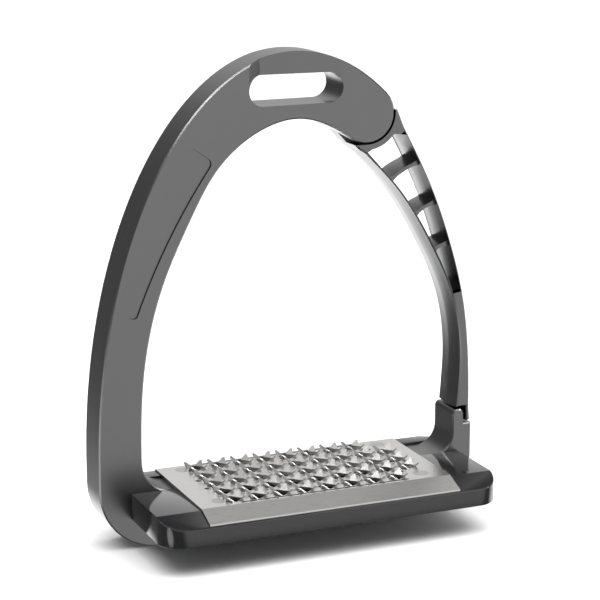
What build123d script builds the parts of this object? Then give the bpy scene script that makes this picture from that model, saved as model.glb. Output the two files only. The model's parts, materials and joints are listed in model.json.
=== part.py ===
from build123d import *
import os
from math import cos, radians, sin, sqrt

# Safety stirrup iron: a one-piece frame (head, branch, bar and catch), an outer arm that
# swings open on a pivot in the head, and a footbed with a steel grip plate on the bar.
# X runs along the tread towards the arm, Y across it towards the side the arm screw is on,
# Z up.  The origin is the middle of the bar's underside, in the frame's mid-plane.

# ---- overall sizes ----
OVERALL_HEIGHT = 175.3      # bar underside to the top of the head
BRANCH_SIDE = 76.7          # tread centre to the outer face of the branch
ARM_SIDE = 70.6             # tread centre to the outer face of the arm and catch
FRAME_THICKNESS = 15.5
EDGE_BREAK = 0.5            # small chamfer round the frame's faces

# ---- frame outline ----
CROWN_X = -1.0              # middle of the head, along X
SPRING_LINE = 31.3          # height where the sides stop being upright
BRANCH_WIDTH = 16.0
BRANCH_WIDTHS = ((0.28, 15.6), (0.45, 17.2), (0.61, 20.4), (0.735, 23.2))  # share of rise, width
HEAD_DEPTH = 24.1           # top of the head down to the top of the arch
ARCH_X = -3.5
BRANCH_CORNER = 22.5        # outer radius, branch to bar
CATCH_CORNER = 18.5         # outer radius, catch to bar
BRANCH_FILLET = 12.0        # inner radius, branch to bar
CATCH_FILLET = 8.0

# ---- leather slot ----
SLOT_LENGTH = 36.0
SLOT_HEIGHT = 10.8
BRIDGE_HEIGHT = 8.0         # metal left over the slot
BRIDGE_CUT = 2.6            # depth of the slanted relief on each face of the bridge
RELIEF_RUN_IN = 5.0         # length of the sloped end wall of that relief

# ---- branch pocket, a shallow recess on both faces ----
POCKET_OUTER_SHARES = (0.375, 0.56, 0.786)     # shares of rise
POCKET_OUTER_INSETS = (5.9, 5.9, 6.3)          # in from the outer face
POCKET_INNER_SHARES = (0.368, 0.556, 0.742)
POCKET_INNER_INSETS = (9.6, 14.6, 19.4)
POCKET_DEPTH = 0.7
POCKET_TOP_ROUND = 2.4
POCKET_END_ROUND = 1.5

# ---- pivot ----
PIVOT_ANGLE = 62.4          # where on the head's ellipse the lug touches it, in degrees
LUG_RADIUS = 10.6
HUB_RADIUS = 11.0
HUB_GAP = 0.4               # round the hub, and round the lug
LUG_FOOT = 235.0            # polar angle on the lug where the arch's edge leaves it
STOP_SIDE = 0.3             # recess edge for the arm's horn, from the pivot
LAP_GAP = 0.4               # between the lap faces of lug and hub
ARM_OPENING = 57.0          # degrees
SHOULDER_RADIUS = 3.0       # pivot screw shoulder
SHOULDER_FIT = 0.05
THREAD_RADIUS = 2.5
THREAD_DEPTH = 5.4
THREAD_FIT = 0.05
INSERT_WALL = 0.6
HEAD_RADIUS = 4.9
HEAD_HEIGHT = 2.4
HEAD_ROUND = 1.0
SOCKET_FLATS = 4.0
SOCKET_DEPTH = 1.8
COUNTERBORE_RADIUS = 8.0
COUNTERBORE_DEPTH = 4.0
WASHER_RADIUS = 7.6
WASHER_BASE = 0.7
WASHER_RIM = 1.5
WASHER_RIM_HEIGHT = 2.6
WASHER_EDGE = 0.4           # chamfer on the washer's rim
DISC_RADIUS = 6.4
DISC_THICKNESS = 0.5
DISC_CONE = 0.35
BUSH_WALL = 1.1
THRUST_RADIUS = 5.8
THRUST_CLEARANCE = 0.03
BALL_RADIUS = 1.5
BALL_ORBIT = 8.2            # distance of the detent ball from the pivot
BALL_PROUD = 0.55           # ball above the lug's lap face
BALL_FIT = 0.08
SPRING_WIRE = 0.35
SPRING_TURNS = 4
SPRING_DEPTH = 6.2          # bottom of the detent hole below the lap face
TRACK_DEPTH = 0.5           # groove that the ball runs in
TRACK_WIDTH = 2.3
TRACK_OVERRUN = 14.0        # degrees of groove past each end of the travel

# ---- arm ----
ARM_FOOT = 37.4             # height of the arm's end above the catch
ARM_STATIONS = ((0.754, 17.2, 15.5), (0.561, 9.0, 9.6), (0.359, 3.1, 5.5), (0.175, 0.8, 4.9))
ARM_TIP_INSET = 0.3
ARM_TIP_WIDTH = 6.4
HUB_OUTER_TANGENT = 27.0    # polar angles on the hub where the arm's edges leave it
HUB_INNER_TANGENT = 221.0
RAIL = 1.9
RIB_THICKNESS = 2.4
RIB_SETBACK = 1.8
RIB_BOW = 0.8
RIB_SHARES = ((0.836, 0.776), (0.701, 0.656), (0.561, 0.533))   # outer and inner end, of the rise
WINDOW_END = 0.408          # share of the arm's rise where the last window stops
WINDOW_HUB_LAND = 2.7
ARM_HORN = 1.0              # how far above the pivot the arm's far half reaches
LIP_THICKNESS = 2.3
LIP_LENGTH = 5.6

# ---- catch ----
CATCH_WIDTH = 7.8
CATCH_GAP = 0.45            # between the catch and the arm's end and lip
TONGUE_ROUND = 1.9

# ---- footbed base ----
BAR_DROP = 11.3             # bar underside below the footbed's underside
BASE_THICKNESS = 9.6
BASE_RIM = 6.1              # height of the upright wall round the footbed
BASE_FAR = 43.5             # frame mid-plane to the long free side
BASE_NEAR = 20.9            # frame mid-plane to the side by the frame
BASE_BRANCH_INSET = 11.7    # base end inside the branch's outer face
BASE_ARM_INSET = 5.6
BASE_CORNER = 9.0
FAR_SHELF = 34.0            # where the far bevel starts
NEAR_SHELF = 14.2           # where the near bevel starts
WING_BRANCH = 25.0          # length of the diagonal by the branch
WING_CATCH = 17.0
WING_FOOT_CATCH = 3.3       # how far the wing's end stands out from the frame's face
WING_FOOT_BRANCH = 0.8
BAR_FIT = 0.15              # base to bar
BAR_TOP_GAP = 0.1           # ends of the bar below the grip plate
WEB_THICKNESS = 5.4
WEB_END_GAP = 1.5
DRAIN_POCKET_DEPTH = 5.5
DRAIN_POCKET_END = 12.8     # pocket's end from the plate's end
DRAIN_POCKET_EDGE = 3.0

# ---- grip plate ----
PLATE_THICKNESS = 1.2
PLATE_PROUD = 0.5           # plate top above the base's top
PLATE_BRANCH_GAP = 0.5      # plate end from the branch fillet's end
PLATE_CATCH_GAP = 6.4       # plate end from the catch fillet's end
FLANGE_BACK = 1.1           # flange edge inside the base's wall
PLATE_FIT = 0.05
NEAR_FLANGE_TAPER = 9.0
TOOTH_PITCH = 9.05          # along the tread
TOOTH_ROW_PITCH = 9.4       # across it
TOOTH_ROWS = 5
FIRST_TOOTH = 14.0          # plate's end by the branch to the first column of teeth
LAST_TOOTH = 19.0           # least distance from the last full column to the other end
FIELD_MIDDLE = -9.4         # middle of the tooth field, across the tread
TOOTH_HALF = 3.5            # half of a pierced diamond, corner to corner
PETAL_HEIGHT = 2.7
PETAL_BASE = 3.9
PETAL_TIP = 0.8
PETAL_THICKNESS = 0.45
PETAL_LEAN = 46.0           # degrees, outwards
PETAL_ROOT = 0.5            # how far a petal's foot reaches down into the plate
END_HOLE_HALF = 1.1         # small holes that end the pattern
SLIT_WIDTH = 0.9
SLIT_END = 15.8             # slit's end from the plate's end
SLIT_INSET = 1.5            # slit from the nearest fold

# ---- fasteners of the plate and the base ----
PLATE_SCREW_X = 39.3
PLATE_SCREW_FAR = 28.0
PLATE_SCREW_NEAR = 9.4
PLATE_SCREW_RADIUS = 1.5
PLATE_SCREW_HEAD = 2.9
PLATE_SCREW_LENGTH = 5.0
SCREW_FIT = 0.05
BASE_SCREW_X = 27.0
BASE_SCREW_RADIUS = 2.0
BASE_SCREW_HEAD = 4.0
BASE_SCREW_CLEARANCE = 0.25
BASE_INSERT_RADIUS = 3.0
BASE_INSERT_LENGTH = 4.4
BASE_SCREW_END_GAP = 0.4
BASE_SOCKET_FLATS = 2.4
BASE_SOCKET_DEPTH = 1.8

# ---- places worked out from the sizes ----
HALF_THICK = FRAME_THICKNESS / 2
BRANCH_OUTER = -BRANCH_SIDE
BRANCH_INNER = BRANCH_OUTER + BRANCH_WIDTH
CATCH_OUTER = ARM_SIDE
CATCH_INNER = ARM_SIDE - CATCH_WIDTH
RISE = OVERALL_HEIGHT - SPRING_LINE
REACH = BRANCH_SIDE + CROWN_X
BASE_BOTTOM = BAR_DROP
BASE_TOP = BASE_BOTTOM + BASE_THICKNESS
BASE_RIM_TOP = BASE_BOTTOM + BASE_RIM
WEB_BOTTOM = BASE_TOP - WEB_THICKNESS
WEB_LEFT = BRANCH_INNER + BRANCH_FILLET + WEB_END_GAP
WEB_RIGHT = CATCH_INNER - CATCH_FILLET - PLATE_CATCH_GAP - WEB_END_GAP
BASE_LEFT = BRANCH_OUTER + BASE_BRANCH_INSET
BASE_RIGHT = ARM_SIDE - BASE_ARM_INSET
PLATE_LEFT = BRANCH_INNER + BRANCH_FILLET + PLATE_BRANCH_GAP
PLATE_RIGHT = CATCH_INNER - CATCH_FILLET - PLATE_CATCH_GAP
PLATE_TOP = BASE_TOP + PLATE_PROUD
BAR_TOP = PLATE_TOP - PLATE_THICKNESS - BAR_TOP_GAP
PLATE_MIDDLE = (PLATE_LEFT + PLATE_RIGHT) / 2
PLATE_LENGTH = PLATE_RIGHT - PLATE_LEFT
TOOTH_COLUMNS = 1 + int((PLATE_LENGTH - FIRST_TOOTH - LAST_TOOTH) / TOOTH_PITCH)
FIRST_COLUMN = PLATE_LEFT + FIRST_TOOTH
TOUCH = radians(PIVOT_ANGLE)
TOUCH_POINT = Vector(CROWN_X + REACH * cos(TOUCH), SPRING_LINE + RISE * sin(TOUCH))
TOUCH_NORMAL = Vector(cos(TOUCH) / REACH, sin(TOUCH) / RISE).normalized()
PIVOT = TOUCH_POINT - TOUCH_NORMAL * LUG_RADIUS
SLOT_MIDDLE = (CROWN_X, OVERALL_HEIGHT - BRIDGE_HEIGHT - SLOT_HEIGHT / 2)
HUB_FLOOR = HALF_THICK - COUNTERBORE_DEPTH


def upright(sketch, y_low, y_high):
    """A sketch drawn in X and Z, as a solid between two Y values."""
    return extrude(Plane.XZ.offset(-y_high) * sketch, amount=y_high - y_low)


def on_pivot(radius, angle):
    """A point round the pivot, in X and Z, at a polar angle in degrees."""
    turn = radians(angle)
    return PIVOT + Vector(radius * cos(turn), radius * sin(turn))


def rod(x, z, radius, y_low, y_high):
    """A solid cylinder lying along Y."""
    return upright(Pos(x, z) * Circle(radius), y_low, y_high)


def post(x, y, radius, z_low, z_high):
    """A solid cylinder standing along Z."""
    return Pos(x, y, z_low) * extrude(Circle(radius), amount=z_high - z_low)


def crown_x(height, reach):
    """How far the head's ellipse stands from the crown at a height."""
    share = (height - SPRING_LINE) / RISE
    return reach * sqrt(1 - share * share)


def inner_branch_point(share, width):
    height = SPRING_LINE + share * RISE
    return (CROWN_X - crown_x(height, REACH) + width, height)


def catch_profile():
    """The catch's top: shoulder outside, round-topped tongue inside, as points upwards."""
    tongue_outer = CATCH_OUTER - ARM_TIP_INSET - LIP_THICKNESS - CATCH_GAP
    tongue_top = ARM_FOOT - CATCH_GAP
    shoulder = ARM_FOOT - LIP_LENGTH - CATCH_GAP
    return tongue_outer, tongue_top, shoulder


def edge_broken(sketch):
    """A plate of the frame's thickness with its outline chamfered on both faces."""
    plate = upright(sketch, -HALF_THICK, HALF_THICK)
    rims = plate.edges().group_by(Axis.Y)
    return chamfer(rims[0] + rims[-1], EDGE_BREAK)


def frame_outline():
    """The whole frame seen along Y: lug, head, branch, bar and catch."""
    tongue_outer, tongue_top, shoulder = catch_profile()
    lug_end = on_pivot(LUG_RADIUS, LUG_FOOT)
    lug_way = Vector(-sin(radians(LUG_FOOT)), cos(radians(LUG_FOOT)))
    lug = ThreePointArc(lug_end, on_pivot(LUG_RADIUS, LUG_FOOT + 85), TOUCH_POINT)
    head = EllipticalCenterArc(
        (CROWN_X, SPRING_LINE), REACH, RISE, PIVOT_ANGLE, arc_size=180 - PIVOT_ANGLE)
    branch_side = Line((BRANCH_OUTER, SPRING_LINE), (BRANCH_OUTER, BRANCH_CORNER))
    corner = RadiusArc((BRANCH_OUTER, BRANCH_CORNER), (BRANCH_OUTER + BRANCH_CORNER, 0), -BRANCH_CORNER)
    bottom = Line((BRANCH_OUTER + BRANCH_CORNER, 0), (CATCH_OUTER - CATCH_CORNER, 0))
    toe = RadiusArc((CATCH_OUTER - CATCH_CORNER, 0), (CATCH_OUTER, CATCH_CORNER), -CATCH_CORNER)
    catch = Polyline(
        (CATCH_OUTER, CATCH_CORNER), (CATCH_OUTER, shoulder), (tongue_outer, shoulder),
        (tongue_outer, tongue_top), (CATCH_INNER, tongue_top),
        (CATCH_INNER, BAR_TOP + CATCH_FILLET))
    catch_foot = RadiusArc(
        (CATCH_INNER, BAR_TOP + CATCH_FILLET), (CATCH_INNER - CATCH_FILLET, BAR_TOP), CATCH_FILLET)
    bar = Line((CATCH_INNER - CATCH_FILLET, BAR_TOP), (BRANCH_INNER + BRANCH_FILLET, BAR_TOP))
    branch_foot = RadiusArc(
        (BRANCH_INNER + BRANCH_FILLET, BAR_TOP), (BRANCH_INNER, BAR_TOP + BRANCH_FILLET), BRANCH_FILLET)
    inner_points = [(BRANCH_INNER, BAR_TOP + BRANCH_FILLET)]
    inner_points += [inner_branch_point(share, width) for share, width in BRANCH_WIDTHS]
    inner_points += [(ARCH_X, OVERALL_HEIGHT - HEAD_DEPTH), lug_end]
    arch = Spline(*inner_points, tangents=[(0, 1), lug_way])
    outline = make_face([lug, head, branch_side, corner, bottom, toe, catch, catch_foot, bar,
                         branch_foot, arch])
    tongue_corners = [spot for spot in outline.vertices() if abs(spot.Y - tongue_top) < TONGUE_ROUND / 100]
    return fillet(tongue_corners, TONGUE_ROUND)


def slot_sketch():
    return Pos(*SLOT_MIDDLE) * SlotOverall(SLOT_LENGTH, SLOT_HEIGHT)


def bridge_relief(side):
    """The slanted cut on one face of the bridge over the slot: deep at one end, flush at the other."""
    left = -SLOT_LENGTH / 2
    right = SLOT_LENGTH / 2
    plan = Polyline(
        (left, HALF_THICK), (left + RELIEF_RUN_IN, HALF_THICK - BRIDGE_CUT), (right, HALF_THICK),
        (right, HALF_THICK + 1), (left, HALF_THICK + 1), close=True)
    low = SLOT_MIDDLE[1]
    cut = Pos(0, 0, low) * extrude(make_face(plan), amount=OVERALL_HEIGHT - low + 1)
    if side > 0:
        cut = mirror(cut, Plane.YZ)
    else:
        cut = mirror(cut, Plane.XZ)
    return Pos(CROWN_X, 0, 0) * cut


def branch_pocket():
    """The long tapering recess on the branch, as a sketch in X and Z."""

    def side_points(shares, insets):
        points = []
        for share, inset in zip(shares, insets):
            height = SPRING_LINE + share * RISE
            points.append((CROWN_X - crown_x(height, REACH) + inset, height))
        return points

    outer_side = side_points(POCKET_OUTER_SHARES, POCKET_OUTER_INSETS)
    inner_side = side_points(POCKET_INNER_SHARES, POCKET_INNER_INSETS)
    pocket = make_face([
        Spline(*outer_side), Line(outer_side[-1], inner_side[-1]), Spline(*inner_side),
        Line(inner_side[0], outer_side[0])])
    pocket = fillet(pocket.vertices().sort_by(Axis.Y)[-2:], POCKET_TOP_ROUND)
    return fillet(pocket.vertices().sort_by(Axis.Y)[:2], POCKET_END_ROUND)


def make_frame():
    body = edge_broken(frame_outline())
    lap = -LAP_GAP / 2
    stop_area = Rectangle(2 * HUB_RADIUS + ARM_SIDE, 2 * HUB_RADIUS + LUG_RADIUS, align=(Align.MIN, Align.MIN))
    stop = upright(Pos(PIVOT.X + STOP_SIDE, PIVOT.Y) * stop_area, lap, HALF_THICK + 1)
    body -= rod(PIVOT.X, PIVOT.Y, HUB_RADIUS + HUB_GAP, lap, HALF_THICK + 1) + stop
    body -= upright(slot_sketch(), -HALF_THICK - 1, HALF_THICK + 1)
    body -= bridge_relief(1)
    body -= bridge_relief(-1)
    pocket = branch_pocket()
    body -= upright(pocket, HALF_THICK - POCKET_DEPTH, HALF_THICK + 1)
    body -= upright(pocket, -HALF_THICK - 1, -HALF_THICK + POCKET_DEPTH)
    saddle_length = WEB_RIGHT - WEB_LEFT
    saddle = Box(saddle_length, FRAME_THICKNESS + 2, BAR_TOP, align=(Align.MIN, Align.CENTER, Align.MIN))
    body -= Pos(WEB_LEFT, 0, WEB_BOTTOM) * saddle
    insert_depth = THREAD_DEPTH + LAP_GAP / 2
    body -= rod(PIVOT.X, PIVOT.Y, THREAD_RADIUS + INSERT_WALL, -insert_depth, 1)
    ball = on_pivot(BALL_ORBIT, 180)
    body -= rod(ball.X, ball.Y, BALL_RADIUS + BALL_FIT, lap - SPRING_DEPTH, 1)
    for x in (-BASE_SCREW_X, BASE_SCREW_X):
        shank = BASE_SCREW_RADIUS + BASE_SCREW_CLEARANCE
        body -= post(x, 0, shank, -1, BASE_TOP)
        sink = Cone(BASE_SCREW_HEAD + BASE_SCREW_CLEARANCE, shank, BASE_SCREW_HEAD - BASE_SCREW_RADIUS,
                    align=(Align.CENTER, Align.CENTER, Align.MIN))
        body -= Pos(x, 0, 0) * sink
    return body


def arm_edges():
    """The arm's outer and inner edges, both from the hub down to the arm's end."""
    rise = PIVOT.Y - ARM_FOOT
    outer_points = [on_pivot(HUB_RADIUS, HUB_OUTER_TANGENT)]
    inner_points = [on_pivot(HUB_RADIUS, HUB_INNER_TANGENT)]
    for share, inset, width in ARM_STATIONS:
        height = ARM_FOOT + share * rise
        outer_points.append((ARM_SIDE - inset, height))
        inner_points.append((ARM_SIDE - inset - width, height))
    end = ARM_SIDE - ARM_TIP_INSET
    outer_points.append((end, ARM_FOOT))
    inner_points.append((end - ARM_TIP_WIDTH, ARM_FOOT))
    leave_outer = radians(HUB_OUTER_TANGENT)
    leave_inner = radians(HUB_INNER_TANGENT)
    outer = Spline(*outer_points, tangents=[(sin(leave_outer), -cos(leave_outer)), (0, -1)])
    inner = Spline(*inner_points, tangents=[(-sin(leave_inner), cos(leave_inner)), (-0.05, -1)])
    return outer, inner


def at_height(edge, height):
    """The point of a falling edge at a height."""
    near, far = 0.0, 1.0
    for _ in range(40):
        middle = (near + far) / 2
        if (edge @ middle).Y > height:
            near = middle
        else:
            far = middle
    return edge @ near


def arm_outline(outer, inner):
    end = outer @ 1
    heel = inner @ 1
    foot = Polyline(
        end, (end.X, ARM_FOOT - LIP_LENGTH), (end.X - LIP_THICKNESS, ARM_FOOT - LIP_LENGTH),
        (end.X - LIP_THICKNESS, ARM_FOOT), heel)
    hub = ThreePointArc(inner @ 0, on_pivot(HUB_RADIUS, 124), outer @ 0)
    return make_face([outer, foot, inner, hub])


def arm_windows(outer, inner):
    """The tapering openings between the arm's two rails, as one sketch with no ribs in it."""
    rise = PIVOT.Y - ARM_FOOT
    end_height = ARM_FOOT + WINDOW_END * rise
    rails = []
    for edge, way in ((outer, -1), (inner, 1)):
        points = []
        for share in (0.93, 0.8, 0.65, 0.5, WINDOW_END - 0.02):
            place = at_height(edge, ARM_FOOT + share * rise)
            ahead = at_height(edge, ARM_FOOT + (share - 0.01) * rise)
            run = (ahead - place).normalized()
            points.append(place + Vector(-run.Y, run.X) * way * RAIL)
        rails.append(points)
    area = make_face([
        Spline(*rails[0]), Line(rails[0][-1], rails[1][-1]), Spline(*rails[1]),
        Line(rails[1][0], rails[0][0])])
    area -= Pos(PIVOT.X, PIVOT.Y) * Circle(HUB_RADIUS + WINDOW_HUB_LAND)
    area -= Pos(ARM_SIDE, end_height) * Rectangle(60, 20, align=(Align.CENTER, Align.MAX))
    return area


def arm_rib(outer, inner, outer_share, inner_share):
    rise = PIVOT.Y - ARM_FOOT
    start = at_height(outer, ARM_FOOT + outer_share * rise)
    finish = at_height(inner, ARM_FOOT + inner_share * rise)
    run = (finish - start).normalized()
    start = start + run * RAIL / 2
    finish = finish - run * RAIL / 2
    crest = (start + finish) / 2 + Vector(-run.Y, run.X) * -RIB_BOW
    rib = trace(ThreePointArc(start, crest, finish), RIB_THICKNESS)
    return upright(rib, -HALF_THICK + RIB_SETBACK, HALF_THICK - RIB_SETBACK)


def make_arm():
    outer, inner = arm_edges()
    outline = arm_outline(outer, inner)
    lap = LAP_GAP / 2
    wide = 3 * HUB_RADIUS
    clear = Pos(PIVOT.X, PIVOT.Y) * Circle(LUG_RADIUS + HUB_GAP)
    clear += Pos(PIVOT.X, PIVOT.Y + ARM_HORN) * Rectangle(wide, wide, align=(Align.CENTER, Align.MIN))
    clear += Pos(PIVOT.X, PIVOT.Y) * Rectangle(wide, HUB_RADIUS, align=(Align.MAX, Align.MAX))
    arm = edge_broken(outline) - upright(clear, -HALF_THICK - 1, lap)
    windows = upright(arm_windows(outer, inner), -HALF_THICK - 1, HALF_THICK + 1)
    for outer_share, inner_share in RIB_SHARES:
        windows -= arm_rib(outer, inner, outer_share, inner_share)
    arm -= windows
    bush = SHOULDER_RADIUS + SHOULDER_FIT + BUSH_WALL
    arm -= rod(PIVOT.X, PIVOT.Y, bush, 0, HALF_THICK)
    arm -= rod(PIVOT.X, PIVOT.Y, COUNTERBORE_RADIUS, HUB_FLOOR, HALF_THICK + 1)
    arm -= detent_track()
    return arm


def detent_track():
    """The groove in the hub's lap face that the detent ball runs in as the arm swings."""
    turns = [180 - ARM_OPENING - TRACK_OVERRUN, 180 - ARM_OPENING / 2, 180 + TRACK_OVERRUN]
    path = ThreePointArc(*[on_pivot(BALL_ORBIT, turn) for turn in turns])
    groove = trace(path, TRACK_WIDTH)
    return upright(groove, -1, LAP_GAP / 2 + TRACK_DEPTH)


def make_pivot_screw():
    """Shoulder screw: domed socket head in the counterbore, shoulder in the bush, thread in the lug."""
    seat = HUB_FLOOR + DISC_CONE + DISC_THICKNESS + WASHER_BASE
    screw = rod(PIVOT.X, PIVOT.Y, HEAD_RADIUS, seat, seat + HEAD_HEIGHT)
    rim = screw.edges().filter_by(GeomType.CIRCLE).group_by(Axis.Y)[-1]
    screw = fillet(rim, HEAD_ROUND)
    screw += rod(PIVOT.X, PIVOT.Y, SHOULDER_RADIUS, -LAP_GAP / 2, seat)
    screw += rod(PIVOT.X, PIVOT.Y, THREAD_RADIUS - THREAD_FIT, -THREAD_DEPTH, -LAP_GAP / 2)
    socket = RegularPolygon(SOCKET_FLATS / 2, 6, major_radius=False)
    top = seat + HEAD_HEIGHT
    screw -= upright(Pos(PIVOT.X, PIVOT.Y) * socket, top - SOCKET_DEPTH, top + 1)
    return screw


def ring_on_pivot(profile):
    """Turns a half-section, drawn as (radius, y) points, round the pivot."""
    section = Plane.XY * make_face(Polyline(*profile, close=True))
    turned = revolve(section, Axis.Y)
    return Pos(PIVOT.X, 0, PIVOT.Y) * turned


def make_cup_washer():
    """Bright dished washer that rings the screw head."""
    low = HUB_FLOOR + DISC_CONE + DISC_THICKNESS
    bore = SHOULDER_RADIUS + SHOULDER_FIT
    inner = WASHER_RADIUS - WASHER_RIM
    top = low + WASHER_RIM_HEIGHT
    return ring_on_pivot([
        (bore, low), (WASHER_RADIUS, low), (WASHER_RADIUS, top - WASHER_EDGE),
        (WASHER_RADIUS - WASHER_EDGE, top), (inner + WASHER_EDGE, top), (inner, top - WASHER_EDGE),
        (inner, low + WASHER_BASE), (bore, low + WASHER_BASE)])


def make_disc_spring():
    """Coned spring washer under the cup washer: its load gives the arm its friction."""
    bore = SHOULDER_RADIUS + SHOULDER_FIT
    low = HUB_FLOOR
    return ring_on_pivot([
        (bore, low + DISC_CONE), (DISC_RADIUS, low), (DISC_RADIUS, low + DISC_THICKNESS),
        (bore, low + DISC_CONE + DISC_THICKNESS)])


def make_bush():
    bore = SHOULDER_RADIUS + SHOULDER_FIT
    outside = rod(PIVOT.X, PIVOT.Y, bore + BUSH_WALL, LAP_GAP / 2, HUB_FLOOR)
    return outside - rod(PIVOT.X, PIVOT.Y, bore, 0, HUB_FLOOR + 1)


def make_thrust_washer():
    half = LAP_GAP / 2 - THRUST_CLEARANCE
    bore = SHOULDER_RADIUS + SHOULDER_FIT
    return rod(PIVOT.X, PIVOT.Y, THRUST_RADIUS, -half, half) - rod(PIVOT.X, PIVOT.Y, bore, -1, 1)


def make_lug_insert():
    """Steel thread insert in the aluminium lug."""
    outside = rod(PIVOT.X, PIVOT.Y, THREAD_RADIUS + INSERT_WALL, -THREAD_DEPTH - LAP_GAP / 2, -LAP_GAP / 2)
    return outside - rod(PIVOT.X, PIVOT.Y, THREAD_RADIUS, -THREAD_DEPTH - 1, 0)


def make_detent_ball():
    place = on_pivot(BALL_ORBIT, 180)
    centre_y = -LAP_GAP / 2 + BALL_PROUD - BALL_RADIUS
    return Pos(place.X, centre_y, place.Y) * Sphere(BALL_RADIUS)


def make_detent_spring():
    place = on_pivot(BALL_ORBIT, 180)
    low = -LAP_GAP / 2 - SPRING_DEPTH
    ball_bottom = -LAP_GAP / 2 + BALL_PROUD - 2 * BALL_RADIUS
    coil = BALL_RADIUS - SPRING_WIRE
    length = ball_bottom - low - SPRING_WIRE
    helix = Helix(pitch=length / SPRING_TURNS, height=length, radius=coil)
    wire = sweep(Plane(origin=helix @ 0, z_dir=helix % 0) * Circle(SPRING_WIRE / 2), path=helix)
    return Pos(place.X, low + SPRING_WIRE / 2, place.Y) * Rot(-90, 0, 0) * wire


def base_outline():
    near_foot_left = HALF_THICK + WING_FOOT_BRANCH
    near_foot_right = HALF_THICK + WING_FOOT_CATCH
    outline = make_face(Polyline(
        (BASE_LEFT, -BASE_FAR), (BASE_RIGHT, -BASE_FAR), (BASE_RIGHT, near_foot_right),
        (BASE_RIGHT - WING_CATCH, BASE_NEAR), (BASE_LEFT + WING_BRANCH, BASE_NEAR),
        (BASE_LEFT, near_foot_left), close=True))
    far_corners = outline.vertices().group_by(Axis.Y)[0]
    return fillet(far_corners, BASE_CORNER)


def along_x(points, x_low, x_high):
    """A closed (y, z) outline as a solid bar along X."""
    section = Plane.YZ.offset(x_low) * make_face(Polyline(*points, close=True))
    return extrude(section, amount=x_high - x_low)


def plate_blank(grow):
    """The folded plate before piercing; grow widens it along X for the recess it lies in."""
    far_slope = (BASE_TOP - BASE_RIM_TOP) / (BASE_FAR - FAR_SHELF)
    near_slope = (BASE_TOP - BASE_RIM_TOP) / (BASE_NEAR - NEAR_SHELF)
    far_edge = BASE_FAR - FLANGE_BACK
    near_edge = BASE_NEAR - FLANGE_BACK
    far_low = PLATE_TOP - far_slope * (far_edge - FAR_SHELF)
    near_low = PLATE_TOP - near_slope * (near_edge - NEAR_SHELF)
    under = PLATE_THICKNESS
    blank = along_x([
        (-far_edge, far_low), (-FAR_SHELF, PLATE_TOP), (NEAR_SHELF, PLATE_TOP), (near_edge, near_low),
        (near_edge, near_low - under), (NEAR_SHELF, PLATE_TOP - under), (-FAR_SHELF, PLATE_TOP - under),
        (-far_edge, far_low - under)], PLATE_LEFT - grow, PLATE_RIGHT + grow)
    for end, way in ((PLATE_LEFT - grow, 1), (PLATE_RIGHT + grow, -1)):
        corner = make_face(Polyline(
            (end - way, NEAR_SHELF + 1), (end, NEAR_SHELF + 1),
            (end + way * NEAR_FLANGE_TAPER, near_edge), (end + way * NEAR_FLANGE_TAPER, near_edge + 1),
            (end - way, near_edge + 1), close=True))
        blank -= extrude(corner, amount=PLATE_TOP + 1)
    return blank


def plate_screw_places():
    places = []
    for x in (PLATE_MIDDLE - PLATE_SCREW_X, PLATE_MIDDLE + PLATE_SCREW_X):
        for y in (-PLATE_SCREW_FAR, PLATE_SCREW_NEAR):
            places.append((x, y))
    return places


def make_base():
    base = Pos(0, 0, BASE_BOTTOM) * extrude(base_outline(), amount=BASE_THICKNESS)
    far_slope = (BASE_TOP - BASE_RIM_TOP) / (BASE_FAR - FAR_SHELF)
    near_slope = (BASE_TOP - BASE_RIM_TOP) / (BASE_NEAR - NEAR_SHELF)
    base -= along_x([
        (-FAR_SHELF, BASE_TOP), (-FAR_SHELF, BASE_TOP + 1), (-BASE_FAR - 1, BASE_TOP + 1),
        (-BASE_FAR - 1, BASE_RIM_TOP - far_slope)], BASE_LEFT - 1, BASE_RIGHT + 1)
    base -= along_x([
        (NEAR_SHELF, BASE_TOP), (NEAR_SHELF, BASE_TOP + 1), (BASE_NEAR + 1, BASE_TOP + 1),
        (BASE_NEAR + 1, BASE_RIM_TOP - near_slope)], BASE_LEFT - 1, BASE_RIGHT + 1)
    base -= plate_blank(PLATE_FIT)
    side = HALF_THICK + BAR_FIT
    channel = [(-side, BASE_BOTTOM - 1), (side, BASE_BOTTOM - 1), (side, WEB_BOTTOM), (-side, WEB_BOTTOM)]
    notch = [(-side, BASE_BOTTOM - 1), (side, BASE_BOTTOM - 1), (side, BASE_TOP + 1), (-side, BASE_TOP + 1)]
    base -= along_x(channel, BASE_LEFT - 1, BASE_RIGHT + 1)
    base -= along_x(notch, BASE_LEFT - 1, WEB_LEFT + BAR_FIT)
    base -= along_x(notch, WEB_RIGHT - BAR_FIT, BASE_RIGHT + 1)
    pocket_far = -FAR_SHELF + DRAIN_POCKET_EDGE
    pocket_near = -side - DRAIN_POCKET_EDGE
    pocket = Box(PLATE_LENGTH - 2 * DRAIN_POCKET_END, pocket_near - pocket_far, DRAIN_POCKET_DEPTH + 1,
                 align=(Align.CENTER, Align.MIN, Align.MIN))
    base -= Pos(PLATE_MIDDLE, pocket_far, BASE_TOP - DRAIN_POCKET_DEPTH) * pocket
    for x, y in plate_screw_places():
        base -= post(x, y, PLATE_SCREW_RADIUS, PLATE_TOP - PLATE_SCREW_LENGTH, PLATE_TOP)
    for x in (-BASE_SCREW_X, BASE_SCREW_X):
        base -= post(x, 0, BASE_INSERT_RADIUS, WEB_BOTTOM - 1, WEB_BOTTOM + BASE_INSERT_LENGTH)
    return base


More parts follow.
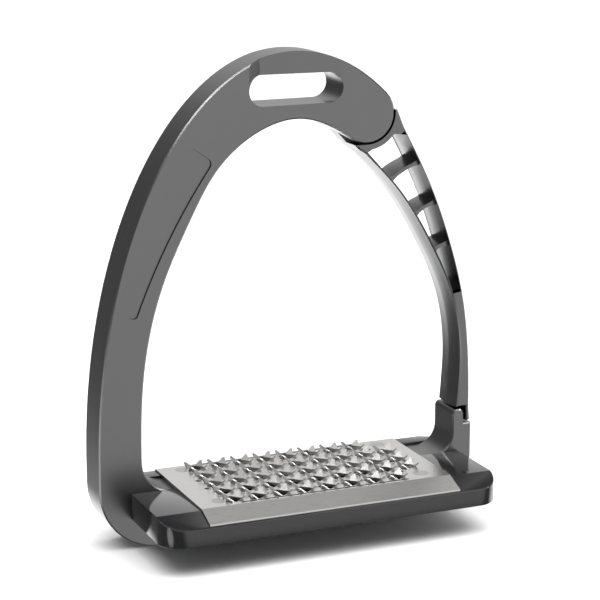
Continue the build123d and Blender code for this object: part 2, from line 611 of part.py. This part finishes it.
def tooth_places():
    """Middles of the pierced diamonds: full rows, and one more in all but the outer two."""
    places = []
    for row in range(TOOTH_ROWS):
        y = FIELD_MIDDLE + (row - (TOOTH_ROWS - 1) / 2) * TOOTH_ROW_PITCH
        outer_row = row in (0, TOOTH_ROWS - 1)
        for column in range(TOOTH_COLUMNS if outer_row else TOOTH_COLUMNS + 1):
            places.append((FIRST_COLUMN + column * TOOTH_PITCH, y))
    return places


def end_hole_places():
    """Small holes half a pitch past the ends of the field, where the pattern stops."""
    left = FIRST_COLUMN - TOOTH_PITCH / 2
    right = FIRST_COLUMN + (TOOTH_COLUMNS - 0.5) * TOOTH_PITCH
    inner = TOOTH_ROW_PITCH / 2
    outer = 1.5 * TOOTH_ROW_PITCH
    return [(left, FIELD_MIDDLE - inner), (left, FIELD_MIDDLE + inner),
            (right, FIELD_MIDDLE - outer), (right, FIELD_MIDDLE + outer)]


def diamond_hole(half):
    low = PLATE_TOP - PLATE_THICKNESS - PETAL_ROOT
    corners = Polyline((-half, 0), (0, -half), (half, 0), (0, half), close=True)
    return Pos(0, 0, low) * extrude(make_face(corners), amount=PLATE_THICKNESS + 2 * PETAL_ROOT)


def burst_petals():
    """The four pointed petals that stand round one pierced diamond, leaning outwards."""
    half_base = PETAL_BASE / 2
    half_tip = PETAL_TIP / 2
    outline = make_face(Polyline(
        (-half_base, -PETAL_ROOT), (half_base, -PETAL_ROOT), (half_tip, PETAL_HEIGHT),
        (-half_tip, PETAL_HEIGHT), close=True))
    upright_petal = upright(outline, 0, PETAL_THICKNESS)
    side = TOOTH_HALF / sqrt(2)
    leaning = Pos(0, side, PLATE_TOP) * Rot(-PETAL_LEAN, 0, 0) * upright_petal
    return [Rot(0, 0, turn) * leaning for turn in (45, 135, 225, 315)]


def make_plate():
    plate = plate_blank(0)
    petals = burst_petals()
    plate += [Pos(x, y, 0) * petal for x, y in tooth_places() for petal in petals]
    plate -= [Pos(x, y, 0) * diamond_hole(TOOTH_HALF) for x, y in tooth_places()]
    plate -= [Pos(x, y, 0) * diamond_hole(END_HOLE_HALF) for x, y in end_hole_places()]
    for y in (-FAR_SHELF + SLIT_INSET, NEAR_SHELF - SLIT_INSET):
        slit = Box(PLATE_LENGTH - 2 * SLIT_END, SLIT_WIDTH, PLATE_THICKNESS + 2 * PETAL_ROOT)
        plate -= Pos(PLATE_MIDDLE, y, PLATE_TOP - PLATE_THICKNESS / 2) * slit
    for x, y in plate_screw_places():
        plate -= screw_sink(x, y)
    return plate


def screw_sink(x, y):
    """The countersink of a plate screw, a fit wider than its head."""
    wide = PLATE_SCREW_HEAD + SCREW_FIT
    narrow = PLATE_SCREW_RADIUS + SCREW_FIT
    sink = Cone(narrow, wide, PLATE_THICKNESS, align=(Align.CENTER, Align.CENTER, Align.MIN))
    return Pos(x, y, PLATE_TOP - PLATE_THICKNESS) * sink


def make_plate_screws():
    screws = []
    for x, y in plate_screw_places():
        shank = PLATE_SCREW_RADIUS - SCREW_FIT
        screw = post(x, y, shank, PLATE_TOP - PLATE_SCREW_LENGTH, PLATE_TOP)
        head = Cone(shank, PLATE_SCREW_HEAD, PLATE_THICKNESS, align=(Align.CENTER, Align.CENTER, Align.MIN))
        screw += Pos(x, y, PLATE_TOP - PLATE_THICKNESS) * head
        screws.append(screw)
    return Compound(screws)


def make_base_screws():
    screws = []
    for x in (-BASE_SCREW_X, BASE_SCREW_X):
        top = WEB_BOTTOM + BASE_INSERT_LENGTH - BASE_SCREW_END_GAP
        screw = post(x, 0, BASE_SCREW_RADIUS - SCREW_FIT, 0, top)
        head = Cone(BASE_SCREW_HEAD, BASE_SCREW_RADIUS - SCREW_FIT, BASE_SCREW_HEAD - BASE_SCREW_RADIUS,
                    align=(Align.CENTER, Align.CENTER, Align.MIN))
        screw += Pos(x, 0, 0) * head
        socket = RegularPolygon(BASE_SOCKET_FLATS / 2, 6, major_radius=False)
        screw -= Pos(x, 0, -1) * extrude(socket, amount=1 + BASE_SOCKET_DEPTH)
        screws.append(screw)
    return Compound(screws)


def make_base_inserts():
    inserts = []
    for x in (-BASE_SCREW_X, BASE_SCREW_X):
        outside = post(x, 0, BASE_INSERT_RADIUS, WEB_BOTTOM, WEB_BOTTOM + BASE_INSERT_LENGTH)
        inserts.append(outside - post(x, 0, BASE_SCREW_RADIUS, 0, BASE_TOP))
    return Compound(inserts)


PARTS = {
    "frame": make_frame,
    "safety_arm": make_arm,
    "pivot_screw": make_pivot_screw,
    "cup_washer": make_cup_washer,
    "disc_spring": make_disc_spring,
    "pivot_bush": make_bush,
    "thrust_washer": make_thrust_washer,
    "lug_thread_insert": make_lug_insert,
    "detent_ball": make_detent_ball,
    "detent_spring": make_detent_spring,
    "footbed_base": make_base,
    "grip_plate": make_plate,
    "plate_screws": make_plate_screws,
    "base_screws": make_base_screws,
    "base_inserts": make_base_inserts,
}

os.makedirs("parts", exist_ok=True)
for node, make in PARTS.items():
    export_step(make(), os.path.join("parts", node + ".step"))
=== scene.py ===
import bmesh
import bpy
import json
from math import cos, radians, sin
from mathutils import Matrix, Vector


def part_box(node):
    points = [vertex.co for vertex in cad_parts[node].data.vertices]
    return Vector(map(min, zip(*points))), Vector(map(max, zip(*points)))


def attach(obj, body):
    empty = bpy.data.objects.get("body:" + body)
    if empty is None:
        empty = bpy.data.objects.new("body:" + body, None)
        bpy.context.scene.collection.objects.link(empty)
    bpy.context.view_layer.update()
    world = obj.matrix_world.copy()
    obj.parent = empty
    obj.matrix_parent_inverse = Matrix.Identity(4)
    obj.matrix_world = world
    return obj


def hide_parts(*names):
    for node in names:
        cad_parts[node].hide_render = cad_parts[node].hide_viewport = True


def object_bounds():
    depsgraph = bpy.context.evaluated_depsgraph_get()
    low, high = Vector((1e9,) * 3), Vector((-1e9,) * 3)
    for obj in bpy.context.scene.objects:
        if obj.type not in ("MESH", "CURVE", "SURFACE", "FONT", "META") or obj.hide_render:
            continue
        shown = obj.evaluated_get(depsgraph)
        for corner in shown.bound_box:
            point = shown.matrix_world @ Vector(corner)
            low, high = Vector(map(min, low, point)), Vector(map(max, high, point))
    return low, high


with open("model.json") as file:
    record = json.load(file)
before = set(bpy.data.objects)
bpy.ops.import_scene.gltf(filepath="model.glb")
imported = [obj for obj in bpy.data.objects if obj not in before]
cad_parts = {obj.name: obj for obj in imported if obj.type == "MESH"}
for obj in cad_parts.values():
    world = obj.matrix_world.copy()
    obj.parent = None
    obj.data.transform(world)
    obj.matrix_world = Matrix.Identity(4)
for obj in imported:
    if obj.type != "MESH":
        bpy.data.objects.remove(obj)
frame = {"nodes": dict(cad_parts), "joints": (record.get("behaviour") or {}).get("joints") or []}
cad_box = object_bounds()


# ---- Frame ----
# The head, branch, bar and catch are one forging in aluminium, machined, bead blasted and
# anodised dark grey.  Its two long edges are broken all round, and show as bright lines.

MM = 0.001
WELD_GAP = 0.004 * MM           # corners closer than this are one corner
FLAT_WITHIN = 0.5               # degrees between faces that are really one flat
COLOUR_SHARE, COLOUR_LOW, COLOUR_HIGH = 0, 6, 7     # sockets of a mix of two colours


class Tone:
    """A number that changes over a surface, on which plain arithmetic can be written."""

    def __init__(self, nodes, socket):
        self.nodes = nodes
        self.socket = socket

    def worked_out(self, operation, first, second):
        return self.nodes.add("Math", {"operation": operation}, {0: first, 1: second})["Value"]

    def __add__(self, other):
        return self.worked_out("ADD", self, other)

    def __radd__(self, other):
        return self.worked_out("ADD", other, self)

    def __mul__(self, other):
        return self.worked_out("MULTIPLY", self, other)

    def __rmul__(self, other):
        return self.worked_out("MULTIPLY", other, self)


class Nodes:
    """A tree of shader nodes, each of which comes from add()."""

    def __init__(self, tree):
        self.tree = tree

    def feed(self, socket, value):
        if isinstance(value, Tone):
            self.tree.links.new(value.socket, socket)
        else:
            socket.default_value = value

    def add(self, kind, settings, values):
        """Makes a node, sets it up, feeds it, and returns its outputs by name."""
        node = self.tree.nodes.new("ShaderNode" + kind)
        for name, value in settings.items():
            setattr(node, name, value)
        for name, value in values.items():
            self.feed(node.inputs[name], value)
        return {out.name: Tone(self, out) for out in node.outputs if out.enabled}


class Finish(Nodes):
    """A material: one shader, and the nodes that drive some of its sockets."""

    def __init__(self, name, colour, metallic, roughness, **fixed):
        self.name = name
        self.material = bpy.data.materials.new(name)
        self.material.use_nodes = True
        super().__init__(self.material.node_tree)
        self.shader = self.tree.nodes["Principled BSDF"]
        self.drive("Base Color", (*colour, 1))
        self.drive("Metallic", metallic)
        self.drive("Roughness", roughness)
        for socket, value in fixed.items():
            self.drive(socket.replace("_", " "), value)
        self.place = self.add("TexCoord", {}, {})["Object"]

    def drive(self, socket, value):
        self.feed(self.shader.inputs[socket], value)

    def stretched(self, x, y, z):
        """Object coordinates scaled by three factors, for grain that runs one way."""
        return self.add("Mapping", {"vector_type": "TEXTURE"}, {
            "Vector": self.place, "Scale": (x, y, z)})["Vector"]

    def noise(self, size, detail, at=None):
        """Cloudy noise from 0 to 1 whose patches are about that many metres across."""
        return self.add("TexNoise", {}, {
            "Vector": at or self.place, "Scale": 1 / size, "Detail": detail})["Fac"]

    def blend(self, share, low, high):
        return self.add("Mix", {"data_type": "RGBA"}, {
            COLOUR_SHARE: share, COLOUR_LOW: (*low, 1), COLOUR_HIGH: (*high, 1)})["Result"]

    def relief(self, height, depth):
        """Turns a height tone into a bump of that real depth, in metres."""
        return self.add("Bump", {}, {
            "Height": height, "Distance": depth, "Strength": 1.0})["Normal"]


def smooth_copy(node, name, sharp, body, finish, edge_round=0.0, draft=None):
    """A merged, smooth-shaded copy of a CAD node that is shown in the node's place.

    Edges that turn by more than sharp degrees stay crisp, or are rounded by edge_round.
    """
    mesh = frame["nodes"][node].data.copy()
    shell = bmesh.new()
    shell.from_mesh(mesh)
    bmesh.ops.remove_doubles(shell, verts=shell.verts, dist=WELD_GAP)
    if draft:
        draft(shell)
    if edge_round:
        bmesh.ops.dissolve_limit(
            shell, angle_limit=radians(FLAT_WITHIN), verts=shell.verts, edges=shell.edges)
        corners = [edge for edge in shell.edges if len(edge.link_faces) == 2
                   and edge.calc_face_angle(0) > radians(sharp)]
        bmesh.ops.bevel(
            shell, geom=corners, offset=edge_round, offset_type="OFFSET", segments=3,
            profile=0.5, affect="EDGES", clamp_overlap=True, material=-1)
    for face in shell.faces:
        face.smooth = True
    for edge in shell.edges:
        edge.smooth = len(edge.link_faces) == 2 and edge.calc_face_angle(0) < radians(sharp)
    shell.to_mesh(mesh)
    shell.free()
    piece = bpy.data.objects.new(name, mesh)
    bpy.context.scene.collection.objects.link(piece)
    mesh.materials.clear()
    mesh.materials.append(finish.material)
    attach(piece, body)
    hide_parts(node)


DYE_CLOUD = 14 * MM             # size of the dye's slow changes of tone
BLAST_SPECK = 0.35 * MM         # size of the specks that blasting leaves
BLAST_PIT = 0.22 * MM
BLAST_DEPTH = 0.006 * MM
DYE_SPREAD = 0.10               # how far the tone strays, as a share of the colour
BLAST_SATIN = 0.24
BLAST_UNEVEN = 0.06


def anodised(name, colour):
    """Bead-blasted and anodised: tiny even pits, and faint cloudy changes of tone."""
    finish = Finish(name, colour, 1.0, 0.3)
    cloud = finish.noise(DYE_CLOUD, 3)
    speck = finish.noise(BLAST_SPECK, 2)
    pits = finish.noise(BLAST_PIT, 3)
    darker = tuple(c * (1 - DYE_SPREAD) for c in colour)
    lighter = tuple(c * (1 + DYE_SPREAD) for c in colour)
    finish.drive("Base Color", finish.blend(cloud * 0.6 + speck * 0.4, darker, lighter))
    finish.drive("Roughness", BLAST_SATIN + cloud * BLAST_UNEVEN + speck * BLAST_UNEVEN)
    finish.drive("Normal", finish.relief(pits, BLAST_DEPTH))
    return finish


FRAME_GREY = (0.20, 0.20, 0.203)
smooth_copy("frame", "frame_forging", 24, "iron", anodised("anodised_frame", FRAME_GREY))


# ---- Safety arm ----
# The outer arm is a separate aluminium forging with four windows between two rails.  It has
# the same blasted and anodised finish, from another batch and so a shade darker.

ARM_GREY = (0.19, 0.19, 0.193)
ARM_RIDGE = 0.75 * MM           # how far the mid-thickness ridge stands over the faces' edges
HUB_CLEAR = 13.5 * MM           # the hub is machined square, with no draft, out to here
MIDDLE_BAND = 0.1 * MM          # corners this near mid-thickness are on the ridge
FACE_TILT = 0.9                 # a normal with more of the arm's axis in it isn't a wall's
ARM_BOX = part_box("safety_arm")
HALF_THICK = (ARM_BOX[1].y - ARM_BOX[0].y) / 2
pivot = Vector(frame["joints"][0]["pos_m"])


def forged_draft(shell):
    """Slopes the arm's walls in from a ridge round its mid-thickness, as its dies leave them."""
    bmesh.ops.bisect_plane(
        shell, geom=shell.verts[:] + shell.edges[:] + shell.faces[:], dist=0.001 * MM,
        plane_co=(0, 0, 0), plane_no=(0, 1, 0))
    moves = []
    for vert in shell.verts:
        side = Vector((vert.co.x - pivot.x, 0, vert.co.z - pivot.z))
        walls = [face.normal for face in vert.link_faces if abs(face.normal.y) < FACE_TILT]
        if side.length < HUB_CLEAR or abs(vert.co.y) < MIDDLE_BAND or not walls:
            continue
        out = sum((Vector((wall.x, 0, wall.z)).normalized() for wall in walls), Vector())
        if out.length:
            moves.append((vert, out.normalized() * ARM_RIDGE * abs(vert.co.y) / HALF_THICK))
    for vert, way in moves:
        vert.co -= way


smooth_copy(
    "safety_arm", "safety_arm_forging", 5, "arm", anodised("anodised_arm", ARM_GREY),
    draft=forged_draft)


# ---- Pivot screw and its cup washer ----
# A polished shoulder screw with a domed socket head holds the arm to the lug.  A dished
# washer, turned from bright steel, rings the head.

TURNED_SHARP = 30
SCUFF = 0.9 * MM
POLISH_WAVE = 0.5 * MM
POLISH_DEPTH = 0.003 * MM


def polished(name, colour, roughness):
    """Turned and polished steel, with faint marks left by the polishing wheel."""
    finish = Finish(name, colour, 1.0, roughness)
    scuffs = finish.noise(SCUFF, 4)
    finish.drive("Roughness", roughness * 0.7 + scuffs * (roughness * 0.6))
    finish.drive("Normal", finish.relief(finish.noise(POLISH_WAVE, 2), POLISH_DEPTH))
    return finish


bright_steel = polished("bright_steel", (0.78, 0.78, 0.79), 0.14)
smooth_copy("pivot_screw", "pivot_screw_head", TURNED_SHARP, "iron", bright_steel)
smooth_copy("cup_washer", "cup_washer_ring", TURNED_SHARP, "iron", bright_steel)


# ---- Footbed base ----
# The base that carries the tread is one glossy dark casting, lacquered, let over the bar
# and screwed to it from below.

LACQUER_RIPPLE = 6 * MM
LACQUER_SWELL = 0.02 * MM
DUST = 0.6 * MM
CASTING_EDGE = 0.5 * MM


def lacquered(name, colour):
    """Dark and glossy under a clear coat, with a slow ripple and a little dust."""
    finish = Finish(name, colour, 0.0, 0.12, Coat_Weight=0.6, Coat_Roughness=0.03)
    ripple = finish.noise(LACQUER_RIPPLE, 2)
    dust = finish.noise(DUST, 4)
    finish.drive("Roughness", 0.1 + dust * 0.08)
    finish.drive("Normal", finish.relief(ripple, LACQUER_SWELL))
    return finish


smooth_copy(
    "footbed_base", "footbed_casting", 20, "iron", lacquered("footbed", (0.008, 0.008, 0.009)),
    edge_round=CASTING_EDGE)


# ---- Grip plate ----
# Stainless sheet, pierced and burst upwards into rows of pointed petals, slit along both
# folds and folded down over the base.

BRUSH_CLOUD = 9 * MM
BRUSH_DEPTH = 0.006 * MM
BRUSH_DARKEST = 0.86            # the darkest scratches, as a share of the colour


def brushed(name, colour, roughness, along):
    """Brushed metal: fine scratches, whose size along each axis is given by along."""
    finish = Finish(name, colour, 1.0, roughness)
    grain = finish.noise(1.0, 3, finish.stretched(*along))
    cloud = finish.noise(BRUSH_CLOUD, 2)
    darker = tuple(c * BRUSH_DARKEST for c in colour)
    finish.drive("Base Color", finish.blend(grain * 0.6 + cloud * 0.4, darker, colour))
    finish.drive("Roughness", roughness * 0.75 + grain * (roughness * 0.5))
    finish.drive("Normal", finish.relief(grain, BRUSH_DEPTH))
    return finish


GRIP_COLOUR = (0.82, 0.81, 0.795)
GRIP_SCRATCH = (6 * MM, 0.12 * MM, 0.12 * MM)
smooth_copy(
    "grip_plate", "grip_plate_sheet", 20, "iron",
    brushed("grip_steel", GRIP_COLOUR, 0.3, GRIP_SCRATCH))


# ---- Screws, springs and inserts ----
# Small steel and bronze parts, most of them hidden: satin screws, rolled spring steel,
# turned bronze, and a moulded thrust washer.

SCREW_GRAIN = (0.3 * MM, 0.3 * MM, 0.3 * MM)
ROLLED_GRAIN = (0.2 * MM, 1 * MM, 0.2 * MM)
BRONZE_GRAIN = (0.4 * MM, 0.4 * MM, 0.4 * MM)
screw_steel = brushed("screw_steel", (0.62, 0.615, 0.61), 0.3, SCREW_GRAIN)
spring_steel = brushed("spring_steel", (0.42, 0.42, 0.44), 0.38, ROLLED_GRAIN)
bronze = brushed("bronze", (0.6, 0.42, 0.22), 0.32, BRONZE_GRAIN)
bearing_plastic = lacquered("bearing_plastic", (0.03, 0.03, 0.03))

SMALL_PARTS = (
    ("plate_screws", "iron", screw_steel),
    ("base_screws", "iron", screw_steel),
    ("lug_thread_insert", "iron", screw_steel),
    ("disc_spring", "iron", spring_steel),
    ("detent_spring", "iron", spring_steel),
    ("detent_ball", "iron", bright_steel),
    ("thrust_washer", "iron", bearing_plastic),
    ("pivot_bush", "arm", bronze),
    ("base_inserts", "iron", bronze),
)
for node, body, finish in SMALL_PARTS:
    smooth_copy(node, node + "_piece", TURNED_SHARP, body, finish)


# ---- Floor, light and camera ----
# A wide pale floor stands under soft boxes, in a studio whose walls have soft bright
# patches.  The camera is low, in front of the footbed's free side.

FLOOR_SIZE = 6.0
FLOOR_DROP = 0.05 * MM
floor_mesh = bmesh.new()
bmesh.ops.create_grid(floor_mesh, x_segments=1, y_segments=1, size=FLOOR_SIZE / 2)
floor_data = bpy.data.meshes.new("floor")
floor_mesh.to_mesh(floor_data)
floor_mesh.free()
floor = bpy.data.objects.new("floor", floor_data)
bpy.context.scene.collection.objects.link(floor)
floor.location.z = -FLOOR_DROP
floor.visible_glossy = False
floor_finish = Finish("floor_paper", (0.9, 0.9, 0.9), 0.0, 0.7)
floor_data.materials.append(floor_finish.material)


def toward(bearing, height):
    """The way to a compass bearing and a height over the horizon, both in degrees."""
    turn, rise = radians(bearing), radians(height)
    return Vector((sin(turn) * cos(rise), -cos(turn) * cos(rise), sin(rise)))


WALL = 0.165                    # brightness of the studio between its patches
BACKDROP = 1.0                  # the plain white that the camera sees behind everything
NUMBER_SHARE, NUMBER_LOW, NUMBER_HIGH = 0, 2, 3     # sockets of a mix of two numbers
# Bearing, height, half-width and fade in degrees, and how much brighter than the wall.
PATCHES = (
    (24, -3, 14, 26, 0.76),     # for the forging's broad front face
    (155, 20, 18, 22, 0.62),    # for the flat top of the grip plate
    (170, -34, 12, 18, 2.2),    # for the arm's inner rim
    (110, -14, 12, 18, 1.5),    # for broken edges that face right
    (50, 66, 18, 20, 1.5),      # for the plate's folded front flange
    (-100, 40, 8, 20, 0.5),     # for broken edges that face up and left
    (-68, -19, 8, 9, 2.2),      # for broken edges that face left
)
world = bpy.data.worlds.new("studio")
bpy.context.scene.world = world
world.use_nodes = True
studio = Nodes(world.node_tree)
way_out = studio.add("TexCoord", {}, {})["Generated"]
glow = WALL
for bearing, height, half_width, fade, gain in PATCHES:
    facing = studio.add("VectorMath", {"operation": "DOT_PRODUCT"}, {
        0: way_out, 1: toward(bearing, height)})["Value"]
    glow = glow + studio.add("MapRange", {"interpolation_type": "SMOOTHSTEP"}, {
        "Value": facing, "From Min": cos(radians(half_width + fade)),
        "From Max": cos(radians(half_width)), "To Max": gain})["Result"]
seen = studio.add("LightPath", {}, {})["Is Camera Ray"]
shown = studio.add("Mix", {"data_type": "FLOAT"}, {
    NUMBER_SHARE: seen, NUMBER_LOW: glow, NUMBER_HIGH: BACKDROP})["Result"]
studio.feed(world.node_tree.nodes["Background"].inputs["Color"], shown)
bpy.context.scene.view_settings.view_transform = "Standard"

low, high = cad_box
middle = (low + high) / 2


def soft_box(name, bearing, elevation, distance, width, height, power):
    """An area light that looks at the iron's middle from a compass bearing."""
    way = toward(bearing, elevation)
    lamp = bpy.data.lights.new(name, "AREA")
    lamp.shape = "RECTANGLE"
    lamp.size = width
    lamp.size_y = height
    lamp.energy = power
    box = bpy.data.objects.new(name, lamp)
    bpy.context.scene.collection.objects.link(box)
    box.location = middle + way * distance
    box.rotation_euler = way.to_track_quat("Z", "Y").to_euler()
    return box


floor_lamp = soft_box("floor_lamp", 20, 86, distance=2.6, width=4.0, height=4.0, power=110)
floor_lamp.visible_glossy = False
soft_box("right_strip", 70, 28, distance=1.0, width=0.12, height=0.9, power=4)
soft_box("top_strip", -60, 62, distance=0.9, width=0.10, height=0.8, power=3)

CAMERA_BEARING = -23.46
CAMERA_ELEVATION = 19.24
CAMERA_DISTANCE = 0.779
SIGHT_POINT = Vector((0, -18.8 * MM, 11.3 * MM))    # the camera's distance is from here
TREAD_SIDE = Vector((0, -4 * MM, 0))                # it aims this far towards the tread
lens = bpy.data.cameras.new("camera")
lens.sensor_width = 36
lens.lens = 128
camera = bpy.data.objects.new("camera", lens)
bpy.context.scene.collection.objects.link(camera)
camera.location = SIGHT_POINT + toward(CAMERA_BEARING, CAMERA_ELEVATION) * CAMERA_DISTANCE
aim = middle + TREAD_SIDE
camera.rotation_euler = (camera.location - aim).to_track_quat("Z", "Y").to_euler()
bpy.context.scene.camera = camera

bpy.context.view_layer.update()
